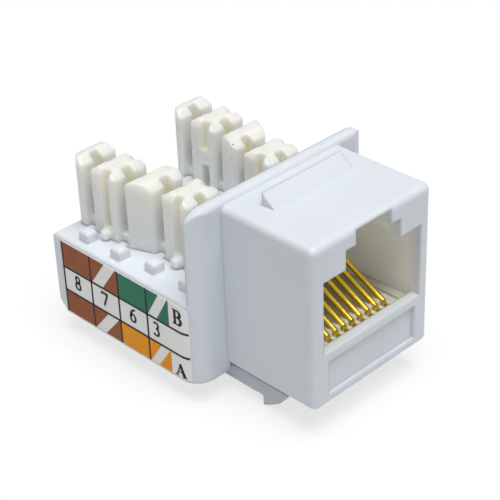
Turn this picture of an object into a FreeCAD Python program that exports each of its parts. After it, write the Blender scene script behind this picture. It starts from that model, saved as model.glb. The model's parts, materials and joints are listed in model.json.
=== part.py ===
import FreeCAD, Part
import math
import os

# Keystone jack: an eight-contact socket that snaps into a panel from behind, with two rows of
# insulation-displacement towers for the cable's eight wires. Millimetres.
# Pieces are drawn from the front face (y = 0), the housing's underside (z = 0) and the middle
# plane (x = 0), and are moved at the end so that the origin is the middle of the panel cut-out,
# on the flange's seat. The plug goes in along +Y. +Z is up.

# Driving sizes --------------------------------------------------------------------------------

# front housing, the part that goes through the panel
housing_width = 14.5
housing_height = 15.95
seat_depth = 10.3            # front face to the flange's seat
housing_edge_radius = 0.6
ridge_half_width = 4.75
ridge_height = 1.15
ridge_tip_depth = 6.5
ridge_rear_depth = 8.0

# port opening
port_half_width = 6.05
port_ceiling = 12.45
tab_half_width = 3.4         # plug tab's shoulders
tab_ceiling = 14.27
lever_half_width = 2.2       # plug tab's lever
lever_ceiling = 15.6
pocket_ceiling = 15.2        # room for the shoulders behind the front lip
lip_thickness = 1.5
port_depth = 10.0
sill_top = 5.35
sill_thickness = 0.95
window_half_width = 5.5      # shallow recess in the front face under the sill
window_low = 1.05
window_high = 4.45
window_recess = 0.35

# flange and base
base_half_width = 10.9
base_corner_radius = 1.9
base_rear = 28.85
base_chamfer = 1.0
base_edge_radius = 0.35
platform_top = 7.5
platform_thickness = 1.2
base_bottom = -0.7
wall = 1.2
rear_wall = 0.7
flange_thickness = 1.0
flange_top = 16.35
flange_corner_radius = 2.0
flange_front_radius = 0.45

# towers: posts 0 (rear end) to 4 (front end) with a wire slot between neighbours; the two rear
# slots lie further out than the two front ones, and the middle post slants between them
rear_slot_x = 6.03           # blade's place, from the middle plane
front_slot_x = 4.95
post_half_width = 2.1
slot_pitch_in_pair = 4.3
slot_pitch_between_pairs = 3.85
slots_per_row = 4
slot_width = 1.0
end_post_thickness = 1.45
end_post_corner = 0.65
end_post_edge_radius = 0.25
post_corner_radius = 0.5
tower_top = 14.25
roof_run = 0.8
roof_drop = 0.6
roof_end_run = 0.4
tine_notch_width = 0.95
tine_notch_depth = 0.8
groove_width = 1.0
groove_depth = 0.75
groove_shift = 1.3           # groove's middle behind the post's front
web_top = 8.3
web_half_width = 1.5
rail_thickness = 1.2
rail_foot_length = 1.5
rail_foot_reach = 4.6        # feet stay clear of the contact wires
window_hole_height = 2.3
window_hole_depth = 1.2
window_bridge_height = 1.6
bump_height = 1.0
bump_length = 1.2
bump_width = 1.2
rear_bump_x = 9.5
front_bump_x = 8.9
bump_shift = 1.42            # bump's middle ahead of its slot's middle
groove_stud_length = 1.45
stud_radius = 0.36

# circuit board
board_thickness = 1.6
board_bottom = 1.75
board_peg_radius = 0.9
board_corner_radius = 0.5
board_front_gap = 0.4

# spring contacts
wire_radius = 0.25
contact_count = 8
contact_pitch = 1.016
wire_bend_radius = 0.45
wire_slope = 28.0            # degrees
wire_board_gap = 0.11
wire_front_y = 1.85
wire_knee_height = 1.0       # knee's start above the run
wire_free_end_y = 9.0
tail_bend_radius = 0.6
tail_near_y = 13.6
tail_far_y = 15.2
tail_length_below = 0.4

# contact carrier
carrier_top = 4.75
carrier_bottom = 2.3
carrier_front = 1.05
carrier_rear = 11.85
comb_height = 0.5
side_groove_x = 5.0
side_groove_width = 0.3
side_groove_depth = 0.35
comb_setback = 0.1           # comb's front behind the wires' front
comb_depth = 1.1
comb_rib = 0.36
comb_rib_radius = 0.3
comb_slot_room = 0.3         # slot reaches this far behind the wire's bend

# insulation-displacement contacts
blade_thickness = 0.5
blade_top = 12.2
blade_slit = 0.4
blade_slit_depth = 3.6
blade_mouth = 1.0
blade_mouth_depth = 0.6
blade_tail_width = 0.8

# latch arm
arm_half_width = 6.6
arm_thickness = 1.5
arm_bottom = -1.9
arm_nose_y = 3.8
hook_shoulder_y = 6.7
hook_drop = 1.0
joggle_front_y = 12.2
joggle_rear_y = 13.4
arm_root_y = 20.0
arm_travel_room = 1.2        # relief above the housing's underside
relief_front_y = 2.6

# labels
label_thickness = 0.08
label_front_y = 11.25
label_rear_y = 27.75
label_low = -0.45
label_high = 7.1

# clearances
fit = 0.05                   # a piece in its seat
solder_room = 0.12           # a wire in its board hole
wire_fit = 0.04              # a wire in its channel
arm_side_gap = 0.3
arm_end_gap = 0.3

# Sizes worked out from those above --------------------------------------------------------------

half_width = housing_width / 2
flange_rear = seat_depth + flange_thickness
base_height = platform_top - base_bottom
inner_half_width = base_half_width - wall
inner_front = seat_depth + wall
inner_rear = base_rear - rear_wall
platform_under = platform_top - platform_thickness
rail_top = platform_under
rail_bottom = rail_top - rail_thickness
board_top = board_bottom + board_thickness
cover_thickness = wall
cover_top = base_bottom + cover_thickness
wire_run_z = board_top + wire_board_gap + wire_radius
last_slot_y = inner_rear - slot_width / 2 - tine_notch_depth
slot_ys = [last_slot_y,
           last_slot_y - slot_pitch_in_pair,
           last_slot_y - slot_pitch_in_pair - slot_pitch_between_pairs,
           last_slot_y - 2 * slot_pitch_in_pair - slot_pitch_between_pairs]
slot_xs = [rear_slot_x, rear_slot_x, front_slot_x, front_slot_x]
bump_xs = [rear_bump_x, rear_bump_x, front_bump_x, front_bump_x]
contact_xs = [(k - (contact_count - 1) / 2) * contact_pitch for k in range(contact_count)]
origin = FreeCAD.Vector(0, seat_depth, housing_height / 2)


# Helpers ------------------------------------------------------------------------------------

def box(x0, x1, y0, y1, z0, z1):
    return Part.makeBox(x1 - x0, y1 - y0, z1 - z0, FreeCAD.Vector(x0, y0, z0))


def fused(shapes):
    result = shapes[0]
    for shape in shapes[1:]:
        result = result.fuse(shape)
    return result.removeSplitter()


def cut_all(shape, tools):
    for tool in tools:
        shape = shape.cut(tool)
    return shape


def prism_x(points, x0, x1):
    """A closed (y, z) outline drawn along X."""
    corners = [FreeCAD.Vector(x0, y, z) for y, z in points]
    face = Part.Face(Part.makePolygon(corners + corners[:1]))
    return face.extrude(FreeCAD.Vector(x1 - x0, 0, 0))


def plan_face(points, z):
    """A face with a closed (x, y) outline at height z."""
    corners = [FreeCAD.Vector(x, y, z) for x, y in points]
    return Part.Face(Part.makePolygon(corners + corners[:1]))


def edges_where(shape, test):
    """Straight edges whose middle point passes the test."""
    found = []
    for edge in shape.Edges:
        if len(edge.Vertexes) < 2:
            continue
        middle = (edge.Vertexes[0].Point + edge.Vertexes[1].Point) * 0.5
        if test(middle, edge):
            found.append(edge)
    return found


def near(a, b):
    return abs(a - b) < 1e-4


def runs_along(edge, axis):
    a = edge.Vertexes[0].Point
    b = edge.Vertexes[1].Point
    span = {"x": abs(a.x - b.x), "y": abs(a.y - b.y), "z": abs(a.z - b.z)}
    return span[axis] > 1e-3 and all(v < 1e-4 for k, v in span.items() if k != axis)


def mirrored(shape):
    return shape.mirror(FreeCAD.Vector(0, 0, 0), FreeCAD.Vector(1, 0, 0))


def save(shape, node):
    shape = shape.copy()
    shape.translate(origin * -1)
    shape.exportStep("parts/" + node + ".step")


# Main housing: port shroud, flange and base in one moulding ---------------------------------------

def shroud_block():
    block = box(-half_width, half_width, 0, flange_rear, 0, housing_height)

    def rounded(p, edge):
        along_y = runs_along(edge, "y") and near(abs(p.x), half_width)
        front = near(p.y, 0)
        return along_y or front
    return block.makeFillet(housing_edge_radius, edges_where(block, rounded))


def ridge():
    outline = [(ridge_tip_depth, housing_height), (ridge_rear_depth, housing_height + ridge_height),
               (ridge_rear_depth, housing_height)]
    return prism_x(outline, -ridge_half_width, ridge_half_width)


def base_plan(y_rear, z0, z1, grow=0.0):
    """The base's outline seen from above, with its two rounded front corners."""
    block = box(-base_half_width - grow, base_half_width + grow, seat_depth - grow, y_rear, z0, z1)
    front = edges_where(block, lambda p, e: runs_along(e, "z") and near(p.y, seat_depth - grow))
    return block.makeFillet(base_corner_radius + grow, front)


def flange():
    """The base's plan, rounded at the two top corners and along the top of the seat face."""
    plan = base_plan(base_rear, base_bottom, flange_top)
    face_outline = box(-base_half_width, base_half_width, seat_depth, flange_rear,
                       base_bottom, flange_top)
    corners = edges_where(face_outline, lambda p, e: runs_along(e, "y") and near(p.z, flange_top))
    face_outline = face_outline.makeFillet(flange_corner_radius, corners)
    side_outline = box(-base_half_width - 1, base_half_width + 1, seat_depth, flange_rear,
                       base_bottom, flange_top)
    edge = edges_where(side_outline, lambda p, e: runs_along(e, "x") and near(p.y, seat_depth)
                       and near(p.z, flange_top))
    side_outline = side_outline.makeFillet(flange_front_radius, edge)
    return plan.common(face_outline).common(side_outline)


def base_shell():
    shell = base_plan(base_rear, base_bottom, platform_top)
    low_rear = edges_where(shell, lambda p, e: near(p.z, base_bottom) and near(p.y, base_rear))
    shell = shell.makeChamfer(base_chamfer, low_rear)
    top_edges = edges_where(shell, lambda p, e: near(p.z, platform_top)
                            and (near(p.y, base_rear) or near(abs(p.x), base_half_width)))
    shell = shell.makeFillet(base_edge_radius, top_edges)
    hollow = box(-inner_half_width, inner_half_width, inner_front, inner_rear,
                 base_bottom - 1, platform_under)
    return shell.cut(hollow)


def stud(x, y, width, length, bottom):
    """A rounded stud that ends bump_height above the platform."""
    block = box(x - width / 2, x + width / 2, y - length / 2, y + length / 2,
                bottom, platform_top + bump_height)
    top = edges_where(block, lambda p, e: p.z > platform_top + bump_height / 2)
    return block.makeFillet(stud_radius, top)


def studs():
    """The studs on the platform beside the slots of the left row."""
    return [stud(-x, y - bump_shift, bump_width, bump_length, platform_top - 0.1)
            for x, y in zip(bump_xs, slot_ys)]


def port_hollow():
    ceiling = [
        box(-port_half_width, port_half_width, -1, port_depth, sill_top, port_ceiling),
        box(-tab_half_width, tab_half_width, -1, port_depth, sill_top, tab_ceiling),
        box(-lever_half_width, lever_half_width, -1, lip_thickness, sill_top, lever_ceiling),
        box(-tab_half_width, tab_half_width, lip_thickness, port_depth - 1, sill_top,
            pocket_ceiling),
        box(-port_half_width, port_half_width, sill_thickness, port_depth, carrier_bottom,
            port_ceiling),
    ]
    return fused(ceiling)


def carrier_window():
    return box(-port_half_width, port_half_width, port_depth - 0.01, inner_front + 0.01,
               carrier_bottom, carrier_top + fit)


def front_recess():
    return box(-window_half_width, window_half_width, -1, window_recess, window_low, window_high)


def arm_relief():
    reach = arm_half_width + arm_side_gap
    under_housing = box(-reach, reach, relief_front_y, seat_depth, -1, arm_travel_room)
    through_wall = box(-reach, reach, seat_depth - 0.01, inner_front + 0.01, base_bottom - 1,
                       arm_travel_room)
    return fused([under_housing, through_wall])


def post_span(k):
    """The y range of post k: 0 is the rear end post and slots_per_row the front one."""
    if k == 0:
        return slot_ys[0] + slot_width / 2, slot_ys[0] + slot_width / 2 + end_post_thickness
    if k == slots_per_row:
        return slot_ys[-1] - slot_width / 2 - end_post_thickness, slot_ys[-1] - slot_width / 2
    return slot_ys[k] + slot_width / 2, slot_ys[k - 1] - slot_width / 2


def post_middles(k):
    """How far out the post's middle is at its front and at its rear face."""
    return slot_xs[min(k, slots_per_row - 1)], slot_xs[max(k - 1, 0)]


def groove_y(k):
    return post_span(k)[0] + groove_shift


def post_outline(k, y0, y1):
    front, rear = post_middles(k)
    half = post_half_width
    if k == 0 and y1 > inner_rear:
        corner = end_post_corner
        return [(-front - half, y0), (-front + half, y0), (-front + half, y1 - corner),
                (-front + half - corner, y1), (-front - half + corner, y1),
                (-front - half, y1 - corner)]
    return [(-front - half, y0), (-front + half, y0), (-rear + half, y1), (-rear - half, y1)]


def tenon_outline(k):
    y0, y1 = post_span(k)
    return post_outline(k, max(y0, inner_front + fit), min(y1, inner_rear - fit))


def web_outline(k):
    y, x = slot_ys[k], -slot_xs[k]
    reach = slot_width / 2 + 0.01
    return [(x - web_half_width, y - reach), (x + web_half_width, y - reach),
            (x + web_half_width, y + reach), (x - web_half_width, y + reach)]


def row_outlines():
    posts = [tenon_outline(k) for k in range(slots_per_row + 1)]
    return posts + [web_outline(k) for k in range(slots_per_row)]


def post_windows():
    """Openings in the platform for one row of towers."""
    windows = []
    for outline in row_outlines():
        face = plan_face(outline, platform_under - 0.01).makeOffset2D(fit, 2)
        windows.append(face.extrude(FreeCAD.Vector(0, 0, platform_thickness + 0.02)))
    return fused(windows)


def main_housing():
    body = fused([shroud_block(), ridge(), flange(), base_shell()])
    windows = post_windows()
    body = cut_all(body, [port_hollow(), carrier_window(), front_recess(), arm_relief(),
                          windows, mirrored(windows)])
    return fused([body] + studs() + [mirrored(piece) for piece in studs()])


# Bottom cover and latch arm ----------------------------------------------------------------------

def board_pegs():
    pegs = []
    for x in (-inner_half_width + 1.4, inner_half_width - 1.4):
        for y in (inner_front + 2.4, inner_rear - 2.4):
            pegs.append(Part.makeCylinder(board_peg_radius, board_bottom - cover_top + 0.01,
                                          FreeCAD.Vector(x, y, cover_top - 0.01)))
    return pegs


def bottom_cover():
    plate = box(-inner_half_width + fit, inner_half_width - fit, inner_front + fit,
                inner_rear - fit, base_bottom, cover_top)
    low_rear = edges_where(plate, lambda p, e: near(p.z, base_bottom)
                           and near(p.y, inner_rear - fit) and runs_along(e, "x"))
    plate = plate.makeChamfer(base_chamfer - rear_wall + 0.2, low_rear)
    reach = arm_half_width + arm_side_gap
    slot = box(-reach, reach, inner_front - 1, arm_root_y + arm_end_gap, base_bottom - 1,
               cover_top + 1)
    return fused([plate.cut(slot)] + board_pegs())


def latch_arm():
    """A tongue that starts in the plane of the cover, steps down and ends in a hook."""
    arm_top = arm_bottom + arm_thickness
    hook_bottom = arm_bottom - hook_drop
    outline = [
        (arm_root_y, base_bottom), (joggle_rear_y, base_bottom), (joggle_front_y, arm_bottom),
        (hook_shoulder_y, arm_bottom), (hook_shoulder_y, hook_bottom),
        (hook_shoulder_y - 0.75, hook_bottom + 0.35), (arm_nose_y + 0.95, arm_bottom + 0.1),
        (arm_nose_y, arm_top - 0.15), (arm_nose_y + 0.15, arm_top),
        (joggle_front_y - 0.2, arm_top), (joggle_rear_y - 0.2, cover_top),
        (arm_root_y, cover_top),
    ]
    arm = prism_x(outline, -arm_half_width, arm_half_width)
    corners = edges_where(arm, lambda p, e: near(p.y, hook_shoulder_y) and near(p.z, arm_bottom))
    return arm.makeFillet(0.2, corners)


# Tower blocks ---------------------------------------------------------------------------------

def roof(y0, y1, x0, x1, slopes_front, slopes_back):
    """The space under a post's top, which slopes towards its slots and its ends."""
    low = tower_top - roof_drop
    front = [(y0, low), (y0 + roof_run, tower_top)] if slopes_front else [(y0, tower_top)]
    back = [(y1 - roof_run, tower_top), (y1, low)] if slopes_back else [(y1, tower_top)]
    across = prism_x([(y0, 0)] + front + back + [(y1, 0)], x0, x1)
    edge = [(x0, 0), (x0, low), (x0 + roof_end_run, tower_top),
            (x1 - roof_end_run, tower_top), (x1, low), (x1, 0)]
    corners = [FreeCAD.Vector(x, y0 - 1, z) for x, z in edge]
    face = Part.Face(Part.makePolygon(corners + corners[:1]))
    return across.common(face.extrude(FreeCAD.Vector(0, y1 - y0 + 2, 0)))


def tower_post(k):
    y0, y1 = post_span(k)
    outline = post_outline(k, y0, y1)
    post = plan_face(outline, platform_top).extrude(FreeCAD.Vector(0, 0, tower_top - platform_top))
    upright = edges_where(post, lambda p, e: runs_along(e, "z"))
    post = post.makeFillet(end_post_edge_radius if k == 0 else post_corner_radius, upright)
    xs = [x for x, _ in outline]
    post = post.common(roof(y0, y1, min(xs), max(xs), k < slots_per_row, k > 0))
    notch = tine_notch_width / 2
    front_x, rear_x = [-x for x in post_middles(k)]
    if k > 0:
        post = post.cut(box(rear_x - notch, rear_x + notch, y1 - tine_notch_depth, y1 + 1,
                            platform_top, tower_top))
    if k < slots_per_row:
        post = post.cut(box(front_x - notch, front_x + notch, y0 - 1, y0 + tine_notch_depth,
                            platform_top, tower_top))
    if k % 2 == 1:
        post = grooved(post, front_x, groove_y(k))
    tenon = plan_face(tenon_outline(k), rail_top - 0.01)
    return post.fuse(tenon.extrude(FreeCAD.Vector(0, 0, platform_thickness + 0.02)))


def grooved(post, x, y):
    """Cuts the upright grooves in a post's two ends; a bridge crosses the inner one."""
    half = post_half_width
    near_y, far_y = y - groove_width / 2, y + groove_width / 2
    post = post.cut(box(x - half - 1, x - half + groove_depth, near_y, far_y,
                        platform_top, tower_top))
    post = post.cut(box(x + half - groove_depth, x + half + 1, near_y, far_y,
                        platform_top, tower_top))
    low = platform_top + window_hole_height
    post = post.cut(box(x + half - window_hole_depth, x + half + 1, near_y, far_y,
                        platform_top, low))
    bridge = box(x + half - groove_depth - 0.01, x + half - 0.1, near_y - 0.01, far_y + 0.01,
                 low, low + window_bridge_height)
    edge = x - half
    foot = stud(edge, y, groove_stud_length, groove_width, platform_top + fit)
    seat = box(edge, edge + groove_depth, near_y, far_y, platform_top - 0.01,
               platform_top + bump_height / 2)
    return fused([post, bridge, foot, seat])


def blade_passage(x, y):
    """The space for one blade and its clearance through web and rail."""
    side = blade_thickness / 2 + fit
    reach = slot_width / 2 + tine_notch_depth
    return box(x - side, x + side, y - reach, y + reach, board_top - 1, tower_top)


def tower_block():
    """The left row of posts on the rail that holds it under the platform."""
    pieces = [tower_post(k) for k in range(slots_per_row + 1)]
    for k in range(slots_per_row):
        web = plan_face(web_outline(k), rail_top - 0.01)
        pieces.append(web.extrude(FreeCAD.Vector(0, 0, web_top - rail_top)))
    outer = -(rear_slot_x + post_half_width)
    inner = -(front_slot_x - post_half_width)
    first = post_span(slots_per_row)[0]
    last = inner_rear - fit
    pieces.append(box(outer, inner, first, last, rail_bottom, rail_top))
    for y in (first, (slot_ys[1] + slot_ys[2]) / 2 - rail_foot_length / 2):
        pieces.append(box(outer, -rail_foot_reach, y, y + rail_foot_length,
                          board_top, rail_bottom + 0.01))
    block = fused(pieces)
    return cut_all(block, [blade_passage(-x, y) for x, y in zip(slot_xs, slot_ys)])


# Contacts ---------------------------------------------------------------------------------------

def idc_blade(y):
    """A forked blade across the wire, shouldered on the board, about x = 0."""
    half = blade_thickness / 2
    reach = slot_width / 2 + tine_notch_depth - fit
    tip = blade_top
    slit = blade_slit / 2
    mouth = blade_mouth / 2
    tail = blade_tail_width / 2
    low = board_bottom - tail_length_below
    points = [
        (-reach + 0.2, tip), (-mouth, tip), (-slit, tip - blade_mouth_depth),
        (-slit, tip - blade_slit_depth), (slit, tip - blade_slit_depth),
        (slit, tip - blade_mouth_depth), (mouth, tip), (reach - 0.2, tip), (reach, tip - 0.5),
        (reach, rail_top), (tail * 2, rail_bottom), (tail * 2, board_top), (tail, board_top),
        (tail, low), (-tail, low), (-tail, board_top), (-tail * 2, board_top),
        (-tail * 2, rail_bottom), (-reach, rail_top), (-reach, tip - 0.5),
    ]
    return prism_x([(y + dy, z) for dy, z in points], -half, half)


def wire_path(x, tail_y):
    """Centre line: board tail, run through the carrier, rise at the comb, knee, sprung slope."""
    slope = math.radians(wire_slope)
    bend = wire_bend_radius
    tail_bend = tail_bend_radius
    centre_y = wire_front_y + bend
    knee_z = wire_run_z + wire_knee_height
    quarter = math.sqrt(0.5)
    half_turn = (math.pi / 2 + slope) / 2

    def at(y, z):
        return FreeCAD.Vector(x, y, z)
    end = at(tail_y, board_bottom - tail_length_below)
    tail_top = at(tail_y, wire_run_z - tail_bend)
    tail_mid = at(tail_y - tail_bend * (1 - quarter), wire_run_z - tail_bend * (1 - quarter))
    run_rear = at(tail_y - tail_bend, wire_run_z)
    run_front = at(centre_y, wire_run_z)
    rise_mid = at(centre_y - bend * quarter, wire_run_z + bend * (1 - quarter))
    rise_low = at(wire_front_y, wire_run_z + bend)
    rise_top = at(wire_front_y, knee_z)
    knee_mid = at(centre_y - bend * math.sin(half_turn), knee_z + bend * math.cos(half_turn))
    knee_end = at(centre_y - bend * math.sin(slope), knee_z + bend * math.cos(slope))
    tip = at(wire_free_end_y, knee_end.z + (wire_free_end_y - knee_end.y) * math.tan(slope))
    edges = [
        Part.LineSegment(end, tail_top).toShape(),
        Part.Arc(tail_top, tail_mid, run_rear).toShape(),
        Part.LineSegment(run_rear, run_front).toShape(),
        Part.Arc(run_front, rise_mid, rise_low).toShape(),
        Part.LineSegment(rise_low, rise_top).toShape(),
        Part.Arc(rise_top, knee_mid, knee_end).toShape(),
        Part.LineSegment(knee_end, tip).toShape(),
    ]
    return Part.Wire(edges)


def wire_solid(x, tail_y, radius):
    path = wire_path(x, tail_y)
    start = FreeCAD.Vector(x, tail_y, board_bottom - tail_length_below)
    section = Part.Wire(Part.makeCircle(radius, start, FreeCAD.Vector(0, 0, 1)))
    return path.makePipeShell([section], True, False)


def tail_y_of(k):
    return tail_near_y if k % 2 == 0 else tail_far_y


def contact_carrier():
    half = port_half_width - fit
    body = box(-half, half, carrier_front, carrier_rear, carrier_bottom, carrier_top)
    comb_front = wire_front_y + comb_setback
    ribs = []
    for k in range(contact_count + 1):
        x = (k - contact_count / 2) * contact_pitch
        rib = box(x - comb_rib / 2, x + comb_rib / 2, comb_front, comb_front + comb_depth,
                  carrier_top - 0.01, carrier_top + comb_height)
        top = edges_where(rib, lambda p, e: near(p.z, carrier_top + comb_height)
                          and runs_along(e, "x"))
        ribs.append(rib.makeFillet(comb_rib_radius, top))
    body = fused([body] + ribs)
    mouth_half = wire_radius + wire_fit
    for x in contact_xs:
        body = body.cut(box(x - mouth_half, x + mouth_half, carrier_front - 1,
                            wire_front_y + wire_bend_radius + comb_slot_room,
                            wire_run_z - mouth_half, carrier_top + 1))
        run = Part.makeCylinder(mouth_half, carrier_rear, FreeCAD.Vector(x, wire_front_y, wire_run_z),
                                FreeCAD.Vector(0, 1, 0))
        body = body.cut(run)
    for x in (-side_groove_x, side_groove_x):
        body = body.cut(box(x - side_groove_width / 2, x + side_groove_width / 2, carrier_front - 1,
                            carrier_rear + 1, carrier_top - side_groove_depth, carrier_top + 1))
    return body


# Circuit board ----------------------------------------------------------------------------------

def circuit_board():
    board = box(-inner_half_width + 2 * fit, inner_half_width - 2 * fit, inner_front + board_front_gap,
                inner_rear - 2 * fit, board_bottom, board_top)
    upright = edges_where(board, lambda p, e: runs_along(e, "z"))
    board = board.makeFillet(board_corner_radius, upright)
    for k, x in enumerate(contact_xs):
        hole = Part.makeCylinder(wire_radius + solder_room, board_thickness + 1,
                                 FreeCAD.Vector(x, tail_y_of(k), board_bottom - 0.5))
        board = board.cut(hole)
    for side in (-1, 1):
        for x, y in zip(slot_xs, slot_ys):
            x = side * x
            board = board.cut(box(x - blade_thickness / 2 - fit, x + blade_thickness / 2 + fit,
                                  y - blade_tail_width / 2 - fit, y + blade_tail_width / 2 + fit,
                                  board_bottom - 1, board_top + 1))
    return board


# Labels -----------------------------------------------------------------------------------------

def label():
    skin = base_plan(base_rear, label_low, label_high, label_thickness).cut(
        base_plan(base_rear, label_low - 1, label_high + 1))
    strip = box(-base_half_width - 1, -base_half_width + base_corner_radius, label_front_y,
                label_rear_y, label_low, label_high)
    return skin.common(strip)


# Build --------------------------------------------------------------------------------------------

def build():
    os.makedirs("parts", exist_ok=True)
    save(main_housing(), "main_housing")
    save(bottom_cover(), "bottom_cover")
    save(latch_arm(), "latch_arm")
    save(contact_carrier(), "contact_carrier")
    save(circuit_board(), "circuit_board")
    block = tower_block()
    for name, side in (("left", -1), ("right", 1)):
        save(block if side < 0 else mirrored(block), "tower_block_" + name)
        sticker = label() if side < 0 else mirrored(label())
        save(sticker, "wiring_label_" + name)
        for number, (x, y) in enumerate(zip(slot_xs, slot_ys), 1):
            blade = idc_blade(y)
            blade.translate(FreeCAD.Vector(side * x, 0, 0))
            save(blade, "idc_contact_%s_%d" % (name, number))
    for k, x in enumerate(contact_xs):
        save(wire_solid(x, tail_y_of(k), wire_radius), "spring_contact_%d" % (k + 1))


build()
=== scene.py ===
import json
import math

import bmesh
import bpy
from mathutils import Matrix, Vector


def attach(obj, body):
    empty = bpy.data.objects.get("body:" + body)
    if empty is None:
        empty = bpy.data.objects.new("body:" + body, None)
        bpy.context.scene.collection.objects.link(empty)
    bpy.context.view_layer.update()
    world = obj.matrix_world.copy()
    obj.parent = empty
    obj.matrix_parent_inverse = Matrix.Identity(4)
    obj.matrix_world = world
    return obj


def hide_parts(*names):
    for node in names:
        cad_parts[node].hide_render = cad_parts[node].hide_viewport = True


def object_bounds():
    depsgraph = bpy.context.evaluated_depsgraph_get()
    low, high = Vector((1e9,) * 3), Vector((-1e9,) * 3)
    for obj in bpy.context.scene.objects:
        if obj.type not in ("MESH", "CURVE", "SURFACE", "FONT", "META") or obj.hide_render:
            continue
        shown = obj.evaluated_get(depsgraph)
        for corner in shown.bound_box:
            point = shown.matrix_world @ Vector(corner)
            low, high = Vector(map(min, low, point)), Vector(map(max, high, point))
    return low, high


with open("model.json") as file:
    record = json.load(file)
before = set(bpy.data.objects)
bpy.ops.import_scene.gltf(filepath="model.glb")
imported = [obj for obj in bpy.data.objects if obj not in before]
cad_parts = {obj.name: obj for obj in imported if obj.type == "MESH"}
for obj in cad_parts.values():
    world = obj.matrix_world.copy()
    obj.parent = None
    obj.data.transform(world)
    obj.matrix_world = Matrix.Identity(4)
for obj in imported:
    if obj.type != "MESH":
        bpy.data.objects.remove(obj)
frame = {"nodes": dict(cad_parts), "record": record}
cad_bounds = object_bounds()

# Keystone jack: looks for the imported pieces, in metres. The port faces -Y, the cable end +Y, +Z up.

MM = 0.001
NODES = frame["nodes"]
HOUSING = "housing"
SEAT_DEPTH = 10.3        # the flange's seat behind the front face, in mm
MIDDLE_HEIGHT = 7.975    # the model's frame above the housing's underside, in mm


# Materials ------------------------------------------------------------------------------------

# places on the jack that the painted light and shade follow: half widths and gap in metres, the rest
# in mm
PORT_HALF_WIDTH = 0.0061
PORT_FRONT, PORT_REAR = 1.6, 10.2
PORT_LOW, PORT_HIGH = 4.0, 15.4
WIRES_HALF_WIDTH = 0.0044
WIRES_FRONT, WIRES_REAR = 2.9, 12.0
TOWER_FOOT, TOWER_AMBER = 7.6, 12.0
CROWN_LOW, CROWN_HIGH = 10.5, 13.9
NARROW_GAP = 0.0011      # how near a wall has to be to count as a slot's

# two close shades for each moulding; some are painted light: the latch's darker as painted shade
# under the housing, the port's warmer and paler as painted light through its walls, the crowns' paler
# and warmer as painted light from above, and those behind the wires darker as painted shade
HOUSING_SHADES = ((0.75, 0.792, 0.838), (0.73, 0.772, 0.818))
LATCH_PAINTED_SHADE = ((0.64, 0.70, 0.75), (0.62, 0.68, 0.73))
PORT_PAINTED_GLOW = ((0.975, 0.98, 0.86), (0.96, 0.965, 0.84))
POST_SHADES = ((0.85, 0.86, 0.84), (0.83, 0.84, 0.82))
CROWN_PAINTED_LIGHT = ((0.88, 0.875, 0.81), (0.86, 0.85, 0.78))
CARRIER_SHADES = ((0.88, 0.87, 0.78), (0.84, 0.82, 0.72))
BEHIND_WIRES_PAINTED_SHADE = ((0.56, 0.50, 0.34), (0.46, 0.41, 0.27))
# painted glow: light that has passed through the tower walls into the slots
SLOT_PAINTED_GLOW = (0.97, 0.92, 0.70)

SPECK_CELLS = 330.0      # dust specks: cells a metre, their size in a cell, where they may be
SPECK_SIZE = 0.028
SPECK_SHARE = 0.56
SPECK_COLOUR = (0.10, 0.08, 0.07)


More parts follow.
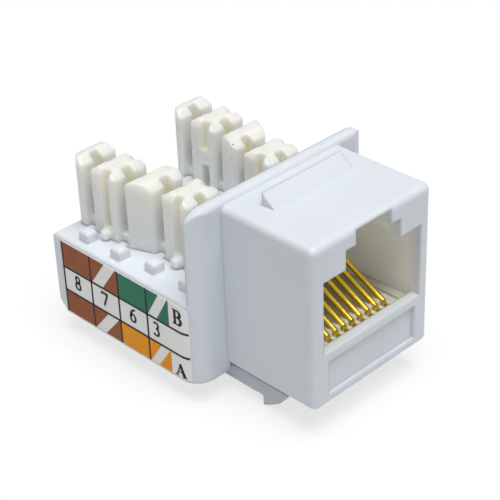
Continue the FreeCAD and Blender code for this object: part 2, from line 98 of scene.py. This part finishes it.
class Nodes:
    """Builds one material's node tree with short calls."""

    def __init__(self, name):
        self.material = bpy.data.materials.new(name)
        self.material.use_nodes = True
        self.tree = self.material.node_tree
        self.tree.nodes.clear()
        self.output = self.add("ShaderNodeOutputMaterial")
        self.bsdf = self.add("ShaderNodeBsdfPrincipled")
        self.join(self.bsdf.outputs[0], self.output.inputs[0])
        self.place = self.add("ShaderNodeTexCoord").outputs["Object"]
        parts = self.add("ShaderNodeSeparateXYZ")
        self.join(self.place, parts.inputs[0])
        self.x, self.y, self.z = parts.outputs

    def add(self, kind, **settings):
        node = self.tree.nodes.new(kind)
        for key, value in settings.items():
            setattr(node, key, value)
        return node

    def join(self, output, socket):
        self.tree.links.new(output, socket)

    def feed(self, value, socket):
        if isinstance(value, (int, float)):
            socket.default_value = value
        elif isinstance(value, tuple):
            socket.default_value = value + (1.0,)
        else:
            self.join(value, socket)

    def set(self, node, **values):
        for key, value in values.items():
            node.inputs[key.replace("_", " ")].default_value = value

    def math(self, operation, first, second=0.0):
        node = self.add("ShaderNodeMath", operation=operation)
        self.feed(first, node.inputs[0])
        self.feed(second, node.inputs[1])
        return node.outputs[0]

    def noise(self, scale, detail=3.0, roughness=0.5):
        node = self.add("ShaderNodeTexNoise")
        self.join(self.place, node.inputs["Vector"])
        self.set(node, Scale=scale, Detail=detail, Roughness=roughness)
        return node.outputs[0]

    def cells(self, scale, randomness=1.0):
        node = self.add("ShaderNodeTexVoronoi")
        self.join(self.place, node.inputs["Vector"])
        self.set(node, Scale=scale, Randomness=randomness)
        return node.outputs["Distance"]

    def spread(self, value, low, high, to_low, to_high):
        node = self.add("ShaderNodeMapRange")
        self.join(value, node.inputs[0])
        for index, number in enumerate((low, high, to_low, to_high), 1):
            node.inputs[index].default_value = number
        return node.outputs[0]

    def within(self, value, low, high, blur):
        """1 between two limits in metres, falling to 0 over the blur outside them."""
        rise = self.spread(value, low - blur, low, 0.0, 1.0)
        fall = self.spread(value, high, high + blur, 1.0, 0.0)
        return self.math("MULTIPLY", rise, fall)

    def blend(self, factor, first, second):
        node = self.add("ShaderNodeMix", data_type="RGBA")
        self.feed(factor, node.inputs[0])
        self.feed(first, node.inputs[6])
        self.feed(second, node.inputs[7])
        return node.outputs[2]

    def bump(self, height, strength, distance, normal=None):
        node = self.add("ShaderNodeBump")
        self.join(height, node.inputs["Height"])
        self.set(node, Strength=strength, Distance=distance)
        if normal is not None:
            self.join(normal, node.inputs["Normal"])
        return node.outputs[0]

    def soft_edges(self, radius):
        node = self.add("ShaderNodeBevel", samples=8)
        node.inputs["Radius"].default_value = radius
        return node.outputs[0]

    def openness(self, distance):
        """1 where the surface is open, falling towards 0 in slots and corners."""
        node = self.add("ShaderNodeAmbientOcclusion", samples=8)
        node.inputs["Distance"].default_value = distance
        return node.outputs["AO"]


def at_y(y):
    """A y or z of the measuring frame, in mm, as metres in the model's frame."""
    return (y - SEAT_DEPTH) * MM


def at_z(z):
    return (z - MIDDLE_HEIGHT) * MM


def moulded(n, colour, roughness, edge, glow, glow_scale, glow_radius):
    """Common to all the mouldings: dust specks, fine grain, soft edges and light that sinks in."""
    specks = n.math("LESS_THAN", n.cells(SPECK_CELLS), SPECK_SIZE)
    rare = n.math("GREATER_THAN", n.noise(130.0, 0.0), SPECK_SHARE)
    n.join(n.blend(n.math("MULTIPLY", specks, rare), colour, SPECK_COLOUR),
           n.bsdf.inputs["Base Color"])
    n.join(n.spread(n.noise(900.0, 4.0), 0.3, 0.7, roughness - 0.04, roughness + 0.05),
           n.bsdf.inputs["Roughness"])
    wave = n.bump(n.noise(330.0, 1.0), 0.15, 0.00002, n.soft_edges(edge))
    n.join(n.bump(n.noise(9000.0, 3.0, 0.6), 0.03, 0.00002, wave), n.bsdf.inputs["Normal"])
    n.set(n.bsdf, IOR=1.5)
    n.feed(glow, n.bsdf.inputs["Subsurface Weight"])
    n.feed(glow_scale, n.bsdf.inputs["Subsurface Scale"])
    n.bsdf.inputs["Subsurface Radius"].default_value = glow_radius


def housing_plastic(name, shades):
    """White plastic, with painted light inside the port: warmer and paler there, where light comes
    through the walls.
    """
    n = Nodes(name)
    cloud = n.spread(n.noise(160.0, 2.0), 0.3, 0.7, 0.0, 1.0)
    shell = n.blend(cloud, *shades)
    inside = n.math("MULTIPLY", n.within(n.x, -PORT_HALF_WIDTH, PORT_HALF_WIDTH, 0.0003),
                    n.within(n.y, at_y(PORT_FRONT), at_y(PORT_REAR), 0.0012))
    inside = n.math("MULTIPLY", inside,
                    n.within(n.z, at_z(PORT_LOW), at_z(PORT_HIGH), 0.0003))
    # painted light: a warmer, paler colour inside the port, where light comes through the walls
    painted_warm_glow = n.blend(cloud, *PORT_PAINTED_GLOW)
    glow = n.spread(inside, 0.0, 1.0, 0.5, 1.0)
    glow_scale = n.spread(inside, 0.0, 1.0, 0.0006, 0.003)
    moulded(n, n.blend(inside, shell, painted_warm_glow), 0.33, 0.0003, glow, glow_scale, (1.0, 0.95, 0.85))
    return n.material


def tower_plastic():
    """Ivory plastic, with painted light: paler, warmer crowns where light falls from above, and a
    painted amber glow where light has passed through into the slots.
    """
    n = Nodes("tower_ivory")
    cloud = n.spread(n.noise(200.0, 2.0), 0.3, 0.7, 0.0, 1.0)
    post = n.blend(cloud, *POST_SHADES)
    painted_crown_light = n.blend(cloud, *CROWN_PAINTED_LIGHT)
    # painted light: the crowns paler and warmer than the posts, as light falls from above
    light = n.blend(n.spread(n.z, at_z(CROWN_LOW), at_z(CROWN_HIGH), 0.0, 1.0), post, painted_crown_light)
    # painted glow: amber in slots and corners, stronger higher up, where light has passed through the
    # walls
    painted_slot_glow_mask = n.spread(n.openness(NARROW_GAP), 0.25, 0.75, 1.0, 0.0)
    high = n.spread(n.z, at_z(TOWER_FOOT), at_z(TOWER_AMBER), 0.1, 1.0)
    colour = n.blend(n.math("MULTIPLY", painted_slot_glow_mask, high), light, SLOT_PAINTED_GLOW)
    moulded(n, colour, 0.3, 0.0001, 1.0, 0.0015, (1.0, 0.93, 0.78))
    return n.material


def carrier_plastic():
    """Pale plastic, with painted shade: yellow-brown behind the contact wires, where little light
    gets in.
    """
    n = Nodes("carrier_plastic")
    cloud = n.spread(n.noise(260.0, 3.0), 0.3, 0.7, 0.0, 1.0)
    light = n.blend(cloud, *CARRIER_SHADES)
    # painted shade: a darker yellow-brown colour behind the contact wires
    behind = n.math("MULTIPLY", n.within(n.x, -WIRES_HALF_WIDTH, WIRES_HALF_WIDTH, 0.0003),
                    n.within(n.y, at_y(WIRES_FRONT), at_y(WIRES_REAR), 0.0006))
    painted_shade_tan = n.blend(cloud, *BEHIND_WIRES_PAINTED_SHADE)
    moulded(n, n.blend(behind, light, painted_shade_tan), 0.42, 0.00008, 0.3, 0.0004, (1.0, 0.9, 0.7))
    return n.material


def board_laminate():
    n = Nodes("board_green")
    weave = n.add("ShaderNodeTexWave", wave_type="BANDS", bands_direction="X")
    n.join(n.place, weave.inputs["Vector"])
    n.set(weave, Scale=900.0, Distortion=1.0)
    thread = n.spread(weave.outputs[0], 0.0, 1.0, 0.0, 0.35)
    cloud = n.spread(n.noise(200.0, 3.0), 0.3, 0.7, 0.0, 1.0)
    colour = n.blend(cloud, (0.02, 0.16, 0.07), (0.015, 0.11, 0.05))
    n.join(n.blend(thread, colour, (0.05, 0.22, 0.10)), n.bsdf.inputs["Base Color"])
    n.join(n.spread(n.noise(900.0, 4.0), 0.3, 0.7, 0.28, 0.4), n.bsdf.inputs["Roughness"])
    n.join(n.bump(weave.outputs[0], 0.1, 0.00001), n.bsdf.inputs["Normal"])
    return n.material


def metal(name, light, dark, roughness, scratch_scale):
    n = Nodes(name)
    cloud = n.spread(n.noise(700.0, 3.0), 0.3, 0.7, 0.0, 1.0)
    worn = n.blend(cloud, light, dark)
    stain = n.math("GREATER_THAN", n.noise(1500.0, 2.0), 0.66)
    n.join(n.blend(n.math("MULTIPLY", stain, 0.4), worn, tuple(0.45 * c for c in dark)),
           n.bsdf.inputs["Base Color"])
    n.join(n.spread(n.noise(3000.0, 4.0), 0.3, 0.7, roughness - 0.05, roughness + 0.08),
           n.bsdf.inputs["Roughness"])
    n.join(n.bump(n.noise(scratch_scale, 4.0), 0.12, 0.00001), n.bsdf.inputs["Normal"])
    n.set(n.bsdf, Metallic=1.0)
    return n.material


def printed(name, light, dark, roughness=0.45):
    """Ink or film on the sticker: a faint paper tooth and uneven cover."""
    n = Nodes(name)
    cloud = n.spread(n.noise(420.0, 3.0), 0.3, 0.7, 0.0, 1.0)
    n.join(n.blend(cloud, light, dark), n.bsdf.inputs["Base Color"])
    n.join(n.spread(n.noise(2500.0, 3.0), 0.3, 0.7, roughness - 0.05, roughness + 0.06),
           n.bsdf.inputs["Roughness"])
    n.join(n.bump(n.noise(2600.0, 3.0), 0.06, 0.00002), n.bsdf.inputs["Normal"])
    n.set(n.bsdf, Specular_IOR_Level=0.15)
    return n.material


FINISH = {
    "housing_white": housing_plastic("housing_white", HOUSING_SHADES),
    "tower_ivory": tower_plastic(),
    "carrier_plastic": carrier_plastic(),
    "board_green": board_laminate(),
    "contact_gold": metal("contact_gold", (0.96, 0.70, 0.10), (0.80, 0.52, 0.05), 0.2, 6000.0),
    "contact_tin": metal("contact_tin", (0.68, 0.66, 0.62), (0.55, 0.54, 0.52), 0.32, 5000.0),
    "label_film": printed("label_film", (0.94, 0.94, 0.91), (0.91, 0.91, 0.88), 0.35),
}
INK = {
    "black": printed("ink_black", (0.012, 0.012, 0.015), (0.02, 0.02, 0.022)),
    "brown": printed("ink_brown", (0.36, 0.105, 0.03), (0.30, 0.085, 0.022)),
    "green": printed("ink_green", (0.028, 0.205, 0.118), (0.022, 0.18, 0.10)),
    "orange": printed("ink_orange", (0.95, 0.36, 0.003), (0.90, 0.32, 0.002)),
    "blue": printed("ink_blue", (0.05, 0.15, 0.42), (0.04, 0.12, 0.36)),
}
for part in frame["record"]["subparts"]:
    node = NODES[part["node"]]
    node.data.materials.clear()
    node.data.materials.append(FINISH[part["material_slot"]])
# the latch arm gets darker shades of the housing's plastic: painted shade under the housing
NODES["latch_arm"].data.materials[0] = housing_plastic("latch_painted_shade", LATCH_PAINTED_SHADE)


# Rounded edges ----------------------------------------------------------------------------------

def soften(node_name, grid, rounds):
    """Rounds a moulding's sharp edges with modifiers; its own vertices stay."""
    node = NODES[node_name]
    weld = node.modifiers.new("weld", "WELD")
    weld.merge_threshold = 0.000001
    remesh = node.modifiers.new("grid", "REMESH")
    remesh.mode = "VOXEL"
    remesh.voxel_size = grid * MM
    remesh.use_smooth_shade = True
    smooth = node.modifiers.new("smooth", "SMOOTH")
    smooth.factor = 0.5
    smooth.iterations = rounds


TOWER_GRID = 0.11
TOWER_ROUNDS = 8

for tower in ("tower_block_left", "tower_block_right"):
    soften(tower, TOWER_GRID, TOWER_ROUNDS)


# Wiring labels ----------------------------------------------------------------------------------

LABEL_LOW, LABEL_HIGH = -0.45, 7.1
LABEL_REAR, LABEL_FRONT = 27.75, 11.25
LABEL_CORNER = 0.9
CORNER_STEPS = 6
ROW_LINES = (1.92, 4.42)
CELL_LINES = (27.66, 23.8, 20.05, 16.3)
COLOUR_END = 13.45
LINE_WIDTH = 0.21
BASE_HALF_WIDTH = 10.9
CORNER_RADIUS = 1.9
FILM_LIFT = 0.062
INK_LIFT = 0.08
INK_SINK = 0.01          # how far each ink starts inside the film
COLOUR_STEP = 0.006      # how far the coloured inks stay under the black
STRIPE_WIDTH = 1.55      # of a white stripe, in a cell of the full length
CELL_LENGTH = 3.75
STRIPE_LEANS = (0.72, 0.86)
FRONT_LEAN = 0.8         # the front pair's stripe against the rear pair's
STRIPE_SHIFTS = (0.15, 0.1)
DIGIT_FOOT = 2.6
DIGIT_SIZE = (1.05, 1.45)
BEND_STEPS = 8           # flats of the sticker round the base's front corner


def skin_x(y, lift):
    """Distance from the middle plane to the base's side, raised by lift, round its front corner."""
    turn = SEAT_DEPTH + CORNER_RADIUS
    if y >= turn:
        return BASE_HALF_WIDTH + lift
    reach = CORNER_RADIUS + lift
    return BASE_HALF_WIDTH - CORNER_RADIUS + math.sqrt(reach * reach - (turn - y) ** 2)


def wrapped(name, side, polygons, low, high, material):
    """Closed thin pieces of the sticker on one side, from outlines in y and z."""
    mesh = bmesh.new()
    for outline in polygons:
        mesh.faces.new([mesh.verts.new((y, z, 0.0)) for y, z in outline])
    bend = SEAT_DEPTH + CORNER_RADIUS - LABEL_FRONT
    for k in range(BEND_STEPS):
        y = LABEL_FRONT + bend * (k + 0.5) / (BEND_STEPS - 0.5)
        bmesh.ops.bisect_plane(mesh, geom=mesh.verts[:] + mesh.edges[:] + mesh.faces[:],
                               plane_co=(y, 0.0, 0.0), plane_no=(1.0, 0.0, 0.0))
    rim = [edge for edge in mesh.edges if edge.is_boundary]
    under = set(mesh.verts)
    twin = bmesh.ops.duplicate(mesh, geom=mesh.verts[:] + mesh.edges[:] + mesh.faces[:])["vert_map"]
    for edge in rim:
        first, second = edge.verts
        mesh.faces.new((first, second, twin[second], twin[first]))
    for vert in mesh.verts:
        y, z = vert.co.x, vert.co.y
        lift = low if vert in under else high
        vert.co = (side * skin_x(y, lift) * MM, at_y(y), at_z(z))
    bmesh.ops.recalc_face_normals(mesh, faces=mesh.faces[:])
    data = bpy.data.meshes.new(name)
    mesh.to_mesh(data)
    mesh.free()
    data.materials.append(material)
    piece = bpy.data.objects.new(name, data)
    bpy.context.scene.collection.objects.link(piece)
    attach(piece, HOUSING)
    return piece


def block(y0, y1, z0, z1):
    return [(y0, z0), (y1, z0), (y1, z1), (y0, z1)]


def film_outline():
    outline = [(LABEL_REAR, LABEL_LOW), (LABEL_REAR, LABEL_HIGH)]
    for k in range(CORNER_STEPS + 1):
        turn = math.radians(90.0 * k / CORNER_STEPS)
        outline.append((LABEL_FRONT + LABEL_CORNER * (1 - math.sin(turn)),
                        LABEL_HIGH - LABEL_CORNER * (1 - math.cos(turn))))
    outline.append((LABEL_FRONT, LABEL_LOW))
    return outline


def striped(rear, front, low, high, lean, shift):
    """A cell's colour on both sides of its slanting white stripe."""
    drop = lean * (high - low)
    stripe = STRIPE_WIDTH * (rear - front) / CELL_LENGTH
    top = front + shift
    behind = [(rear, low), (rear, high), (top + stripe, high),
              (min(rear, top + stripe + drop), low)]
    ahead = [(top + drop, low), (top, high), (front, high), (front, low)]
    return [behind, ahead]


def label_colours(top, bottom):
    """Outlines for each ink: the two rows of cells, the front pair and the rear pair."""
    found = {}
    gap = LINE_WIDTH / 2
    rows = ((ROW_LINES[1] + gap, LABEL_HIGH, top, STRIPE_LEANS[0]),
            (LABEL_LOW, ROW_LINES[0] - gap, bottom, STRIPE_LEANS[1]))
    for low, high, (rear_ink, front_ink), lean in rows:
        found.setdefault(rear_ink, []).append(block(CELL_LINES[0], CELL_LINES[1] + gap, low, high))
        found[rear_ink] += striped(CELL_LINES[1] - gap, CELL_LINES[2] + gap, low, high, lean,
                                   STRIPE_SHIFTS[0])
        found.setdefault(front_ink, []).append(
            block(CELL_LINES[2] - gap, CELL_LINES[3] + gap, low, high))
        found[front_ink] += striped(CELL_LINES[3] - gap, COLOUR_END, low, high, lean * FRONT_LEAN,
                                    STRIPE_SHIFTS[1])
    return found


def label_lines():
    half = LINE_WIDTH / 2
    lines = [block(y + half, y - half, LABEL_LOW, LABEL_HIGH) for y in CELL_LINES]
    return lines + [block(LABEL_REAR, LABEL_FRONT + 0.02, z - half, z + half) for z in ROW_LINES]


def ribbon(points):
    """Quads along a stroke; each point is (across, up, width)."""
    sides = []
    for k, (x, z, width) in enumerate(points):
        before, after = points[max(k - 1, 0)], points[min(k + 1, len(points) - 1)]
        along = Vector((after[0] - before[0], after[1] - before[1])).normalized()
        sides.append(((x - along.y * width / 2, z + along.x * width / 2),
                      (x + along.y * width / 2, z - along.x * width / 2)))
    return [[a[0], a[1], b[1], b[0]] for a, b in zip(sides, sides[1:])]


def arc(x, z, reach, rise, start, end, thick=0.24, thin=0.1):
    """An oval stroke, thick at its sides and thin at its top and foot."""
    points = []
    steps = 18
    for k in range(steps + 1):
        turn = math.radians(start + (end - start) * k / steps)
        width = thin + (thick - thin) * abs(math.cos(turn))
        points.append((x + reach * math.cos(turn), z + rise * math.sin(turn), width))
    return ribbon(points)


def line(x0, z0, x1, z1, width):
    width *= 1.25
    return ribbon([(x0, z0, width), (x1, z1, width)])


def foot(x, z, half):
    return line(x - half, z, x + half, z, 0.06)


SIGNS = {
    "1": line(0.5, 0, 0.5, 1, 0.17) + foot(0.5, 0.03, 0.22) + line(0.5, 0.97, 0.27, 0.85, 0.08),
    "2": arc(0.47, 0.72, 0.27, 0.24, 165, -25) + line(0.72, 0.66, 0.14, 0.07, 0.1)
         + line(0.1, 0.06, 0.88, 0.06, 0.12),
    "3": arc(0.42, 0.75, 0.27, 0.21, 150, -90) + arc(0.42, 0.27, 0.32, 0.25, 90, -150),
    "4": line(0.66, 0, 0.66, 1, 0.17) + line(0.64, 0.98, 0.06, 0.34, 0.08)
         + line(0.04, 0.31, 0.95, 0.31, 0.09),
    "5": line(0.26, 0.93, 0.86, 0.93, 0.13) + line(0.28, 0.93, 0.2, 0.56, 0.07)
         + arc(0.42, 0.3, 0.33, 0.27, 110, -145),
    "6": arc(0.5, 0.3, 0.3, 0.27, 0, 360) + arc(0.86, 0.32, 0.66, 0.64, 95, 180),
    "7": line(0.06, 0.92, 0.94, 0.92, 0.14) + line(0.86, 0.9, 0.38, 0, 0.17)
         + line(0.09, 0.97, 0.09, 0.74, 0.06),
    "8": arc(0.5, 0.75, 0.24, 0.21, 0, 360) + arc(0.5, 0.27, 0.3, 0.24, 0, 360),
    "A": line(0.5, 1, 0.13, 0.03, 0.08) + line(0.46, 1, 0.84, 0.03, 0.21)
         + line(0.26, 0.34, 0.72, 0.34, 0.06) + foot(0.13, 0.03, 0.15) + foot(0.84, 0.03, 0.17),
    "B": line(0.24, 0, 0.24, 1, 0.2) + foot(0.25, 0.03, 0.25) + foot(0.25, 0.97, 0.25)
         + line(0.24, 0.515, 0.5, 0.515, 0.06) + arc(0.46, 0.75, 0.27, 0.225, 90, -90)
         + arc(0.46, 0.27, 0.34, 0.245, 90, -90),
}


def sign(name, side, y, z, width, height):
    """One digit or letter centred at y with its foot at z, readable from outside."""
    quads = []
    for quad in SIGNS[name]:
        quads.append([(y + side * (across - 0.5) * width, z + up * height) for across, up in quad])
    return quads


DIGIT_PLACES = (25.8, 22.05, 18.25, 15.15)
LETTER_PLACE = 12.32


def add_label(side, name, node, digits, top, bottom):
    film = wrapped(name + "_film", side, [film_outline()], 0.0, FILM_LIFT, FINISH["label_film"])
    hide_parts(node)
    for ink, outlines in label_colours(top, bottom).items():
        wrapped(name + "_" + ink, side, outlines, FILM_LIFT - INK_SINK, INK_LIFT - COLOUR_STEP,
                INK[ink])
    black = label_lines()
    for digit, y in zip(digits, DIGIT_PLACES):
        black += sign(digit, side, y, DIGIT_FOOT, *DIGIT_SIZE)
    black += sign("B", side, LETTER_PLACE, 5.1, 1.25, 1.5)
    black += sign("A", side, LETTER_PLACE, -0.33, 1.32, 1.3)
    wrapped(name + "_lines", side, black, FILM_LIFT - INK_SINK, INK_LIFT, INK["black"])


add_label(-1, "label_left", "wiring_label_left", "8763", ("brown", "green"), ("brown", "orange"))
add_label(1, "label_right", "wiring_label_right", "4521", ("blue", "orange"), ("blue", "green"))


# Stage ------------------------------------------------------------------------------------------

FLOOR_REACH = 1.2
FLOOR_GLOW = 0.7         # share of plain white in what the camera sees of the paper
WORLD_STRENGTH = 0.26
KEY_PLACE = (-0.08, -0.30, 1.45)
KEY_SIZE = 1.1
KEY_POWER = 22.0
LIGHT_AIM = (0.0, 0.003, 0.0)


def add_floor():
    """Pale paper: near white to the camera, dimmer in the light it throws back."""
    low = cad_bounds[0][2]
    mesh = bpy.data.meshes.new("floor")
    side = FLOOR_REACH
    corners = [(-side, -side, low), (side, -side, low), (side, side, low), (-side, side, low)]
    mesh.from_pydata(corners, [], [(0, 1, 2, 3)])
    floor = bpy.data.objects.new("floor", mesh)
    bpy.context.scene.collection.objects.link(floor)
    n = Nodes("floor_paper")
    cloud = n.spread(n.noise(30.0, 2.0), 0.3, 0.7, 0.0, 1.0)
    rays = n.add("ShaderNodeLightPath")
    seen = n.math("MAXIMUM", rays.outputs["Is Camera Ray"], rays.outputs["Is Glossy Ray"])
    paper = n.blend(cloud, (0.95, 0.95, 0.95), (0.94, 0.94, 0.94))
    n.join(n.blend(seen, (0.66, 0.66, 0.67), paper), n.bsdf.inputs["Base Color"])
    n.set(n.bsdf, Roughness=0.9, Specular_IOR_Level=0.0)
    glow = n.add("ShaderNodeEmission")
    n.set(glow, Strength=1.0)
    mixed = n.add("ShaderNodeMixShader")
    n.feed(n.math("MULTIPLY", seen, FLOOR_GLOW), mixed.inputs[0])
    n.join(n.bsdf.outputs[0], mixed.inputs[1])
    n.join(glow.outputs[0], mixed.inputs[2])
    n.join(mixed.outputs[0], n.output.inputs[0])
    mesh.materials.append(n.material)


def add_light(name, place, size, power):
    data = bpy.data.lights.new(name, "AREA")
    data.size = size
    data.energy = power
    light = bpy.data.objects.new(name, data)
    bpy.context.scene.collection.objects.link(light)
    light.location = place
    aim = Vector(LIGHT_AIM) - Vector(place)
    light.rotation_euler = aim.to_track_quat("-Z", "Y").to_euler()


def add_world():
    world = bpy.data.worlds.new("studio")
    world.use_nodes = True
    background = world.node_tree.nodes["Background"]
    background.inputs["Color"].default_value = (1.0, 1.0, 1.0, 1.0)
    background.inputs["Strength"].default_value = WORLD_STRENGTH
    bpy.context.scene.world = world


# The camera looks from the port's side and the label's side, from above.
CAMERA_PLACE = (-80.58, -79.96, 72.535)
CAMERA_FORWARD = (0.58366, 0.60906, -0.53702)
CAMERA_ROLL = 2.228
CAMERA_LENS = 111.4
CAMERA_SHIFT = (-0.0024, 0.0041)


def look_matrix(place, forward, roll):
    """Camera matrix at a place in mm, from its forward direction and its roll in degrees."""
    forward = Vector(forward).normalized()
    right = forward.cross(Vector((0, 0, 1))).normalized()
    up = right.cross(forward)
    turn = Matrix.Rotation(math.radians(roll), 3, forward)
    right, up = turn @ right, turn @ up
    rows = [(right[i], up[i], -forward[i], place[i] * MM) for i in range(3)]
    return Matrix(rows + [(0, 0, 0, 1)])


def add_camera():
    data = bpy.data.cameras.new("camera")
    data.lens = CAMERA_LENS
    data.sensor_width = 36.0
    data.shift_x, data.shift_y = CAMERA_SHIFT
    data.clip_start = 0.005
    camera = bpy.data.objects.new("camera", data)
    bpy.context.scene.collection.objects.link(camera)
    camera.matrix_world = look_matrix(CAMERA_PLACE, CAMERA_FORWARD, CAMERA_ROLL)
    bpy.context.scene.camera = camera


add_floor()
add_world()
add_light("key", KEY_PLACE, KEY_SIZE, KEY_POWER)
add_camera()
bpy.context.scene.view_settings.view_transform = "Standard"
